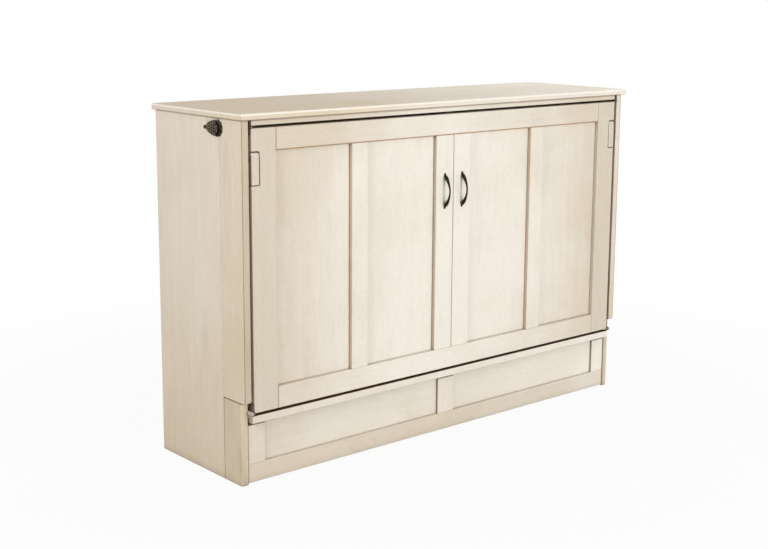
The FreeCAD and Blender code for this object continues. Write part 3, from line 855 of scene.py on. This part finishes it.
# Cast ornament of the side latches

BUMP_SEGMENTS = 16
BUMP_RINGS = 10
LATCH_RISE = 0.0022
LATCH_LEVER_THICKNESS = 0.004
LATCH_LEVER_LIFT = 0.0043
LATCH_KNOB_RISE = 0.0018
LATCH_DROP_LENGTH = 0.0060
LATCH_DROP_WIDTH = 0.0038
LATCH_DROP_FAN = 32.0
# Rows of leaves on the lever: place along it, half the row's height, and how many
LATCH_ROWS = ((-0.0050, 0.0072, 2), (0.0055, 0.0138, 4), (0.0150, 0.0132, 5),
              (0.0235, 0.0112, 4), (0.0315, 0.0086, 3), (0.0390, 0.0058, 3),
              (0.0455, 0.0030, 2))
# Scallops on the lever's edges: place along it, distance from its middle, and size
LATCH_SCALLOPS = ((0.0040, 0.0172, 0.0125), (0.0145, 0.0168, 0.0115), (0.0245, 0.0152, 0.0105),
                  (0.0338, 0.0130, 0.0100), (0.0420, 0.0098, 0.0090), (0.0496, 0.0040, 0.0080))
LATCH_FREE_LOBES = (100.0, 136.0, 176.0)
LATCH_LOBE_RING = 0.0215
LATCH_LOBE_LENGTH = 0.0048
LATCH_LOBE_WIDTH = 0.0036
LATCH_LOBE_RISE = 0.0016


def cast_bumps(name, sign, spots, material):
    """Half-sunk drops on a cast plate, by face, depth, height, length, width, rise and turn."""
    shape = bmesh.new()
    for face, depth, height, length, width, rise, turn in spots:
        seat = (Matrix.Translation((sign * face, depth, height))
                @ Matrix.Rotation(math.radians(turn), 4, "X")
                @ Matrix.Diagonal((rise, length / 2, width / 2, 1.0)))
        bmesh.ops.create_uvsphere(shape, u_segments=BUMP_SEGMENTS, v_segments=BUMP_RINGS,
                                  radius=1.0, matrix=seat)
    obj = add_object(name, mesh_from(name, shape), material)
    smooth(obj)
    return obj


latch_pivots = {joint["name"]: joint["pos_m"] for joint in frame["joints"]
                if "latch" in joint["name"]}
for side, sign in (("left", -1), ("right", 1)):
    lever_low, lever_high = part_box(side + "_latch_lever")
    lever_face = max(abs(lever_low.x), abs(lever_high.x)) - LATCH_KNOB_RISE
    lever_middle = lever_face - LATCH_LEVER_THICKNESS / 2
    plate_face = lever_face - LATCH_LEVER_LIFT
    pivot_depth, pivot_height = latch_pivots[side + "_latch_turn"][1:]
    drops = []
    for along, half_rise, count in LATCH_ROWS:
        for index in range(count):
            share = 2 * index / (count - 1) - 1
            drops.append((lever_face, pivot_depth + along, pivot_height + share * half_rise,
                          LATCH_DROP_LENGTH, LATCH_DROP_WIDTH, LATCH_RISE,
                          -share * LATCH_DROP_FAN))
    ornament = cast_bumps(side + "_latch_leaves", sign, drops, bronze_raised)
    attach(ornament, side + "_latch")
    drops = []
    for along, rise, size in LATCH_SCALLOPS:
        for way in (-1, 1):
            drops.append((lever_middle, pivot_depth + along, pivot_height + way * rise,
                          size, size, LATCH_LEVER_THICKNESS / 2, 0.0))
    scallops = cast_bumps(side + "_latch_scallops", sign, drops, bronze)
    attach(scallops, side + "_latch")
    drops = []
    for angle in LATCH_FREE_LOBES:
        turn = math.radians(angle)
        drops.append((plate_face, pivot_depth + LATCH_LOBE_RING * math.cos(turn),
                      pivot_height + LATCH_LOBE_RING * math.sin(turn),
                      LATCH_LOBE_LENGTH, LATCH_LOBE_WIDTH, LATCH_LOBE_RISE, angle))
    lobes = cast_bumps(side + "_latch_lobes", sign, drops, bronze_raised)
    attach(lobes, "cabinet")


# Floor, light and camera

FLOOR_SIZE = 30.0
FLOOR_CLEAR_RAMP = (0.9, 2.6)
FLOOR_CLEAR_LEAST = 0.93
WORLD_LEVEL = 0.48
# Lamps: name, place, what they light, width and power
LAMPS = (("front key", (0.85, -5.70, 1.65), (0.0, 0.0, 0.50), 2.0, 167.0),
         ("left fill", (-3.6, -0.9, 1.9), (-0.8, 0.0, 0.8), 1.8, 50.0),
         ("right top", (1.7, 0.4, 2.9), (0.5, 0.0, 1.1), 1.2, 20.0))
PICTURE_WIDTH = 768.0
PICTURE_HEIGHT = 549.0
PICTURE_CENTRE = (384.0, 240.0)
FOCAL_PIXELS = 1320.3
CAMERA_YAW = math.radians(40.550)
CAMERA_PITCH = math.radians(10.598)
CAMERA_ROLL = math.radians(0.337)
CAMERA_PLACE = (-2.9155, -3.2836, 1.4387)
SENSOR_WIDTH = 36.0
CAMERA_REACH = 100.0


def make_floor():
    """A pale floor that takes the cabinet's shadow and looks white."""
    shape = bmesh.new()
    bmesh.ops.create_grid(shape, x_segments=1, y_segments=1, size=FLOOR_SIZE)
    floor = add_object("floor", mesh_from("floor", shape))
    material = bpy.data.materials.new("pale floor")
    material.use_nodes = True
    tree = material.node_tree
    tree.nodes.clear()
    pale = place(tree, "ShaderNodeBsdfDiffuse")
    pale.inputs["Color"].default_value = FLOOR_PALE
    white = place(tree, "ShaderNodeEmission")
    white.inputs["Color"].default_value = WHITE
    white.inputs["Strength"].default_value = 1.0
    position = place(tree, "ShaderNodeTexCoord").outputs["Object"]
    distance = place(tree, "ShaderNodeVectorMath", operation="LENGTH")
    tree.links.new(position, distance.inputs[0])
    clear = calc(tree, "MULTIPLY_ADD", ramp(tree, distance.outputs["Value"], *FLOOR_CLEAR_RAMP),
                 1.0 - FLOOR_CLEAR_LEAST, FLOOR_CLEAR_LEAST)
    mix = place(tree, "ShaderNodeMixShader")
    feed(tree, calc(tree, "MULTIPLY", seen_directly(tree), clear), mix.inputs[0])
    tree.links.new(pale.outputs[0], mix.inputs[1])
    tree.links.new(white.outputs[0], mix.inputs[2])
    output = place(tree, "ShaderNodeOutputMaterial")
    tree.links.new(mix.outputs[0], output.inputs["Surface"])
    floor.data.materials.append(material)


def make_world():
    """An even studio that looks white and lights the cabinet from all around."""
    world = bpy.data.worlds.new("studio")
    bpy.context.scene.world = world
    world.use_nodes = True
    tree = world.node_tree
    tree.nodes.clear()
    back = place(tree, "ShaderNodeBackground")
    back.inputs["Color"].default_value = WHITE
    strength = calc(tree, "MULTIPLY_ADD", seen_directly(tree), 1.0 - WORLD_LEVEL, WORLD_LEVEL)
    tree.links.new(strength, back.inputs["Strength"])
    output = place(tree, "ShaderNodeOutputWorld")
    tree.links.new(back.outputs[0], output.inputs["Surface"])


def soft_box(name, spot, target, size, power):
    lamp = bpy.data.lights.new(name, "AREA")
    lamp.shape = "DISK"
    lamp.size = size
    lamp.energy = power
    obj = add_object(name, lamp)
    obj.location = spot
    aim = Vector(target) - Vector(spot)
    obj.rotation_euler = aim.to_track_quat("-Z", "Y").to_euler()


def make_camera():
    """The photograph's view, from points measured on the cabinet's corners."""
    yaw, pitch, roll = CAMERA_YAW, CAMERA_PITCH, CAMERA_ROLL
    forward = Vector((math.sin(yaw) * math.cos(pitch), math.cos(yaw) * math.cos(pitch),
                      -math.sin(pitch)))
    right = Vector((math.cos(yaw), -math.sin(yaw), 0.0))
    up = right.cross(forward)
    turned_right = right * math.cos(roll) + up * math.sin(roll)
    turned_up = up * math.cos(roll) - right * math.sin(roll)
    centre_x, centre_y = PICTURE_CENTRE
    data = bpy.data.cameras.new("camera")
    data.sensor_fit = "HORIZONTAL"
    data.sensor_width = SENSOR_WIDTH
    data.lens = FOCAL_PIXELS / PICTURE_WIDTH * data.sensor_width
    data.shift_x = (PICTURE_WIDTH / 2 - centre_x) / PICTURE_WIDTH
    data.shift_y = (centre_y - PICTURE_HEIGHT / 2) / PICTURE_WIDTH
    data.clip_end = CAMERA_REACH
    camera = add_object("camera", data)
    axes = Matrix((turned_right, turned_up, -forward)).transposed().to_4x4()
    camera.matrix_world = Matrix.Translation(CAMERA_PLACE) @ axes
    bpy.context.scene.camera = camera


make_floor()
make_world()
for lamp_row in LAMPS:
    soft_box(*lamp_row)
make_camera()
bpy.context.scene.view_settings.view_transform = "Standard"
